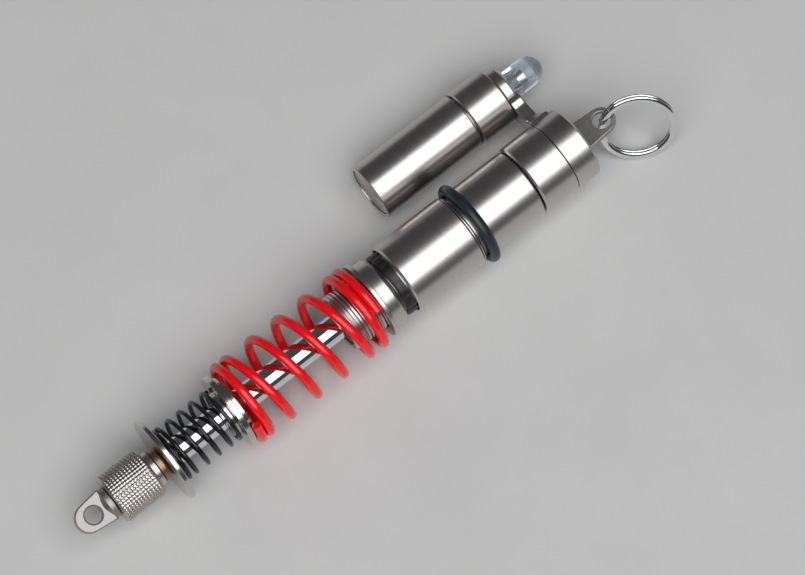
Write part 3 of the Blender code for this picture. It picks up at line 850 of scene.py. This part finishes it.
def bridge_mesh():
    """The arm from the cap to the boss. It flares into both of them in smooth fillets."""
    half, foot_end, corner, steps = 2.3, 97.8, 0.45, 36
    in_cap, in_boss = 2.2, 1.4            # how far the arm's two ends reach inside
    cap_flare_start, cap_flare, cap_spread = CAP_R - 0.5, 1.7, 1.3
    boss_flare, boss_spread = 1.1, 0.5
    boss_edge = AXIS_SPACING - BOSS_R
    first, last = CAP_R - in_cap, boss_edge + in_boss
    face = CAP_START + ARM_THICK
    rows = []
    for i in range(steps + 1):
        y = first + (last - first) * i / steps
        near_cap = clamped(1.0 - (y - cap_flare_start) / cap_flare) ** 2
        near_boss = clamped(1.0 - (boss_edge - y) / boss_flare) ** 2
        high = face + (foot_end - face) * near_cap
        wide = half + cap_spread * near_cap + boss_spread * near_boss
        box = [(CAP_START, -wide), (high, -wide), (high, wide), (CAP_START, wide)]
        row = rounded([(x, z, corner) for x, z in box], closed=True)
        rows.append([(x, y, z) for x, z in row])
    return loft("bridge", rows)


def cap_mesh():
    """The round cap, with the slot that holds the tab's root."""
    taper, chamfer, edge = 0.05, 0.4, 0.08
    slot_start, slot_half, slot_half_thick, over = 95.75, 3.1, 0.65, 1.0
    cap = revolved("cap", rounded([
        (CAP_START, 0.0), (CAP_START, CAP_R - taper, edge), (CAP_END - chamfer, CAP_R, edge),
        (CAP_END, CAP_R - chamfer, edge), (CAP_END, 0.0),
    ]), False)
    slot = bpy.data.meshes.new("slot")
    x0, x1 = slot_start * MM, (CAP_END + over) * MM
    y1, z1 = slot_half * MM, slot_half_thick * MM
    slot.from_pydata(
        [(x, y, z) for x in (x0, x1) for y in (-y1, y1) for z in (-z1, z1)], [],
        [(0, 1, 3, 2), (4, 6, 7, 5), (0, 4, 5, 1), (2, 3, 7, 6), (0, 2, 6, 4), (1, 5, 7, 3)],
    )
    return cut_mesh(cap, slot)


def boss_mesh():
    """The ring round the lamp. Its upper outer edge slopes and is well rounded."""
    bore, bore_edge = 2.65, 0.1
    chamfer, slope, drop, soft = 0.3, 0.6, 0.7, 0.3
    face = CAP_START + ARM_THICK
    boss = revolved("boss", rounded([
        (CAP_START, BOSS_R - chamfer, 0.15), (CAP_START + chamfer, BOSS_R, 0.2),
        (face - slope, BOSS_R, soft), (face, BOSS_R - drop, soft),
        (face, bore, bore_edge), (CAP_START, bore, bore_edge),
    ], closed=True), True)
    boss.transform(Matrix.Translation((0.0, AXIS_SPACING * MM, 0.0)))
    return boss


def make_bridge_cap():
    mesh = joined("bridge_cap_fine", [cap_mesh(), bridge_mesh(), boss_mesh()])
    piece("bridge_cap_fine", mesh, "satin", TAB, "bridge_cap")


def cut_mesh(mesh, tool):
    """The mesh with the tool's shape cut out of it."""
    body = bpy.data.objects.new("cut_body", mesh)
    cutter = bpy.data.objects.new("cut_tool", tool)
    for obj in (body, cutter):
        bpy.context.scene.collection.objects.link(obj)
    step = body.modifiers.new("cut", "BOOLEAN")
    step.operation = "DIFFERENCE"
    step.solver = "EXACT"
    step.object = cutter
    bpy.context.view_layer.update()
    evaluated = body.evaluated_get(bpy.context.evaluated_depsgraph_get())
    made = bpy.data.meshes.new_from_object(evaluated)
    for obj in (body, cutter):
        bpy.data.objects.remove(obj, do_unlink=True)
    return made


def make_tab():
    """The flat plate in the cap's slot. It tapers to a round end with the ring's hole."""
    hole, hole_r, nose_r, root_half, thick, edge = 104.0, 1.54, 2.35, 2.95, 1.0, 0.16
    root = span("key_ring_tab")[0]
    mesh = plate("key_ring_tab_fine", nose_outline(hole, nose_r, root, root_half),
                 round_hole(hole, hole_r), thick, edge)
    piece("key_ring_tab_fine", mesh, "cast", TAB, "key_ring_tab")


def make_key_ring():
    """Two turns of flattened wire that lie on each other, with the cross-over between."""
    ring_r, radial, axial, squareness = 5.9, 1.18, 0.57, 2.3
    lean = math.radians(-25.0)
    join_at, half_join = 345.0, 12.0      # degrees round the ring from the tab's hole
    space, steps, sides = 0.05, 200, 32
    hinge = joint("key_ring_swing")
    centre = TAB.inverted() @ middle("split_key_ring") / MM
    start = TAB.inverted() @ Vector(hinge["pos_m"]) / MM
    diameter = (centre - start).normalized()
    level = Vector((diameter.x, diameter.y, 0.0)).normalized()
    up = Vector((0.0, 0.0, 1.0))
    droop = math.asin(-diameter.z)
    upright = level * math.sin(droop) + up * math.cos(droop)
    tangent = (upright * math.cos(lean) + level.cross(up) * math.sin(lean)).normalized()
    normal = diameter.cross(tangent)
    points, outward = [], []
    first, last = join_at + half_join, join_at + 720.0 - half_join
    for i in range(steps + 1):
        angle = first + (last - first) * i / steps
        crossed = eased((angle - (join_at + 360.0 - half_join)) / (2 * half_join))
        turn = math.radians(angle)
        way = tangent * math.sin(turn) - diameter * math.cos(turn)
        offset = (crossed - 0.5) * (axial + space)
        points.append(centre + way * ring_r + normal * offset)
        outward.append(way)
    section = [(math.copysign(abs(u) ** (2 / squareness) * radial / 2, u),
                math.copysign(abs(v) ** (2 / squareness) * axial / 2, v))
               for u, v in circle(1.0, sides)]
    mesh = swept("split_key_ring_fine", points, outward, section)
    piece("split_key_ring_fine", mesh, "chrome", TAB, "split_key_ring")


# ---- torch reservoir -------------------------------------------------------------------

def make_barrel():
    """The reservoir's long tube."""
    start, end = span("battery_barrel")
    barrel_r, bore = 4.95, 4.35
    edge, drop, chamfer = 0.14, 0.12, 0.25
    turned("battery_barrel", [
        (start, barrel_r - drop, 0.05), (start + edge, barrel_r, CRISP),
        (end - chamfer, barrel_r, CRISP), (end, barrel_r - chamfer, CRISP),
    ], "satin", TORCH, bore=[(start, bore), (end, bore)])


def make_torch_head():
    """The reservoir's upper part. Its thin spigot goes into the barrel."""
    start, end = span("torch_head")
    collar_start, head_r, spigot_r = 87.65, 5.15, 4.15
    chamfer, top_edge = 0.25, 0.1
    seat_start, wide_bore, lamp_bore = 90.6, 3.45, 3.0
    turned("torch_head", [
        (start, spigot_r), (collar_start, spigot_r, 0.05), (collar_start, head_r - chamfer, CRISP),
        (collar_start + chamfer, head_r, CRISP), (end - top_edge, head_r, 0.1),
        (end, head_r - top_edge, CRISP),
    ], "satin", TORCH, bore=[
        (start, wide_bore), (seat_start, wide_bore), (seat_start, lamp_bore), (end, lamp_bore),
    ])


def make_end_disc():
    """The disc that closes the barrel, with rings turned in its outer face."""
    start, end = span("barrel_end_disc")
    disc_r, rings, groove = 4.2, 7, 0.12
    face = [(start + groove * wave(k / 2), disc_r * (1 - k / (2 * rings)), 0.0)
            for k in range(2 * rings)]
    turned("barrel_end_disc", [*reversed(face), (end, disc_r)], "knurled", TORCH)


def make_lens():
    """The clear lamp: a flange, a wall that narrows very slightly, and a round dome."""
    start, end = span("led_lens")
    lens_r, flange_r, shoulder = 2.5, 2.85, 93.9
    dome_steps, last_angle = 18, 4.0
    dome = arc((end - lens_r, 0.0), lens_r, 90.0, last_angle, dome_steps)
    # The last point only shapes the corner before it. The wall runs straight to the dome.
    flange = rounded([
        (start, 0.0), (start, flange_r), (shoulder, flange_r), (shoulder, lens_r),
    ])[:-1]
    mesh = revolved("led_lens_fine", [*flange, *dome, (end, 0.0)], False, COARSE_ROUND)
    piece("led_lens_fine", mesh, "clear", TORCH, "led_lens")


def make_lamp_inside():
    """What is cast inside the lens: the cup on its anvil, the post, and the die."""
    fine_edge = 0.05
    cup_start, cup_end, cup_r, cup_foot_r, wall = 98.2, 99.6, 1.1, 0.75, 0.14
    floor, floor_r = cup_start + 0.5, 0.42
    cup = revolved("led_cup", rounded([
        (cup_start, 0.0), (cup_start, cup_foot_r), (cup_end, cup_r), (cup_end, cup_r - wall),
        (floor, floor_r), (floor, 0.0),
    ], fine_edge), False, 64)
    blade_start, thick = span("led_lens")[0] + 0.3, 0.5
    anvil_end, anvil_y, anvil_width = cup_start + 0.1, -0.35, 1.75
    anvil = post_mesh("led_anvil", blade_start, anvil_end, anvil_y, anvil_width, thick)
    piece("led_cup", joined("led_cup", [cup, anvil]), "frame", TORCH, "led_lead_minus", False)
    post_end, post_y, post_width = cup_start + 0.6, 1.62, 0.85
    post = post_mesh("led_post", blade_start, post_end, post_y, post_width, thick)
    piece("led_post", post, "frame", TORCH, "led_lead_plus", False)
    die_start, die_rim, die_end = cup_start + 0.52, cup_start + 1.1, cup_start + 1.2
    die_r, die_rim_r = 0.4, 0.78
    die = revolved("led_die", rounded([
        (die_start, 0.0), (die_start, die_r), (die_rim, die_rim_r), (die_end, 0.0),
    ], fine_edge), False, 48)
    piece("led_die", die, "phosphor", TORCH, "led_lens", False)


def post_mesh(name, start, end, place, width, depth):
    """One blade of the lead frame, from one station to another. It widens to its end."""
    corner = 0.08
    shares = [                # stations, and the share of the width that the blade has there
        (start, 0.55), (start + 1.2, 0.55), (end - 1.6, 0.75), (end - 0.8, 1.0),
        (end - 0.05, 1.0), (end, 0.9),
    ]
    rows = []
    for x, share in shares:
        half_y, half_z = width * share / 2, depth / 2
        box = [(-half_y, -half_z), (half_y, -half_z), (half_y, half_z), (-half_y, half_z)]
        row = rounded([(place + y, z, corner) for y, z in box], closed=True)
        rows.append([(x, y, z) for y, z in row])
    return loft(name, rows)


def dress_hidden_nodes():
    """Better materials for the CAD nodes that stay as they are, inside the body."""
    looks = {
        "rod_bush": "brass", "rod_stop_nut": "steel", "stop_washer": "rubber",
        "led_holder": "plastic", "led_lead_minus": "steel", "led_lead_plus": "steel",
        "contact_disc": "brass", "contact_pin": "brass", "battery_spring": "steel",
        "button_cell_1": "steel", "button_cell_2": "steel", "button_cell_3": "steel",
    }
    for node, look in looks.items():
        obj = frame["nodes"][node]
        for slot in obj.material_slots:
            slot.material = LOOKS[look]


# ---- floor, camera and lights ----------------------------------------------------------

def make_floor():
    """A square floor at the object's feet. Its half side is in metres."""
    half = 3.0
    mesh = bpy.data.meshes.new("floor")
    mesh.from_pydata([(-half, -half, 0), (half, -half, 0), (half, half, 0), (-half, half, 0)],
                     [], [(0, 1, 2, 3)])
    mesh.materials.append(LOOKS["floor"])
    floor = bpy.data.objects.new("floor", mesh)
    bpy.context.scene.collection.objects.link(floor)


TILT = math.radians(9.8)      # how far the camera leans towards the lower end
YAW = math.radians(14.4)      # and towards the side away from the reservoir
SPIN = math.radians(37.81)    # the object's slope in the picture
TO_CAMERA = Vector((-math.sin(TILT), -math.cos(TILT) * math.sin(YAW),
                    math.cos(TILT) * math.cos(YAW)))
LEVEL_RIGHT = Vector((math.cos(TILT), -math.sin(TILT) * math.sin(YAW),
                      math.sin(TILT) * math.cos(YAW)))
LEVEL_UP = Vector((0.0, math.cos(YAW), math.sin(YAW)))
AIM_STATION = 61.53           # the station at the picture's middle
AIM_BELOW = 1.52              # and how far the axis lies above that middle
CAMERA_DISTANCE = 0.75        # metres
NEAREST = 0.01                # metres, where the camera's view begins
LENS = 209.6
SENSOR = 36.0


def make_camera():
    data = bpy.data.cameras.new("camera")
    data.lens = LENS
    data.sensor_width = SENSOR
    data.clip_start = NEAREST
    camera = bpy.data.objects.new("camera", data)
    bpy.context.scene.collection.objects.link(camera)
    right = LEVEL_RIGHT * math.cos(SPIN) - LEVEL_UP * math.sin(SPIN)
    up = LEVEL_RIGHT * math.sin(SPIN) + LEVEL_UP * math.cos(SPIN)
    target = Vector(on_shock(AIM_STATION)) - LEVEL_UP * AIM_BELOW * MM
    turn = Matrix((right, up, TO_CAMERA)).transposed().to_4x4()
    camera.matrix_world = Matrix.Translation(target + TO_CAMERA * CAMERA_DISTANCE) @ turn
    bpy.context.scene.camera = camera


KEY_LEAN = math.radians(9.0)  # how far the light stands below the camera's direction
KEY_DISTANCE = 1.2            # metres
KEY_SIZE = (1.9, 1.30)        # metres, along X and across it
KEY_RADIANCE = 2.4
SKY = (0.06, 0.06, 0.064, 1.0)


def softbox(name, direction, distance, size, radiance):
    """A rectangular light that looks at the object, with its first side along X."""
    data = bpy.data.lights.new(name, "AREA")
    data.shape = "RECTANGLE"
    data.size, data.size_y = size
    data.energy = radiance * math.pi * size[0] * size[1]
    light = bpy.data.objects.new(name, data)
    bpy.context.scene.collection.objects.link(light)
    back = Vector(direction).normalized()
    along = Vector((1.0, 0.0, 0.0))
    along = (along - back * along.dot(back)).normalized()
    turn = Matrix((along, back.cross(along), back)).transposed().to_4x4()
    light.matrix_world = Matrix.Translation(back * distance) @ turn


def make_lights():
    over = TO_CAMERA * math.cos(KEY_LEAN) - LEVEL_UP * math.sin(KEY_LEAN)
    softbox("key", over, KEY_DISTANCE, KEY_SIZE, KEY_RADIANCE)
    world = bpy.data.worlds.new("studio")
    world.use_nodes = True
    sky = world.node_tree.nodes["Background"]
    sky.inputs["Color"].default_value = SKY
    sky.inputs["Strength"].default_value = 1.0
    bpy.context.scene.world = world
    bpy.context.scene.view_settings.view_transform = "Standard"


make_lower_eye()
make_adjuster_knob()
make_stem()
make_lower_perch()
make_rod()
make_springs()
make_divider()
make_pilot_tube()
make_spring_seat()
make_lock_ring()
make_sleeve()
make_tube()
make_collar()
make_o_ring()
make_bridge_cap()
make_tab()
make_key_ring()
make_barrel()
make_torch_head()
make_end_disc()
make_lens()
make_lamp_inside()
dress_hidden_nodes()
make_floor()
make_camera()
make_lights()
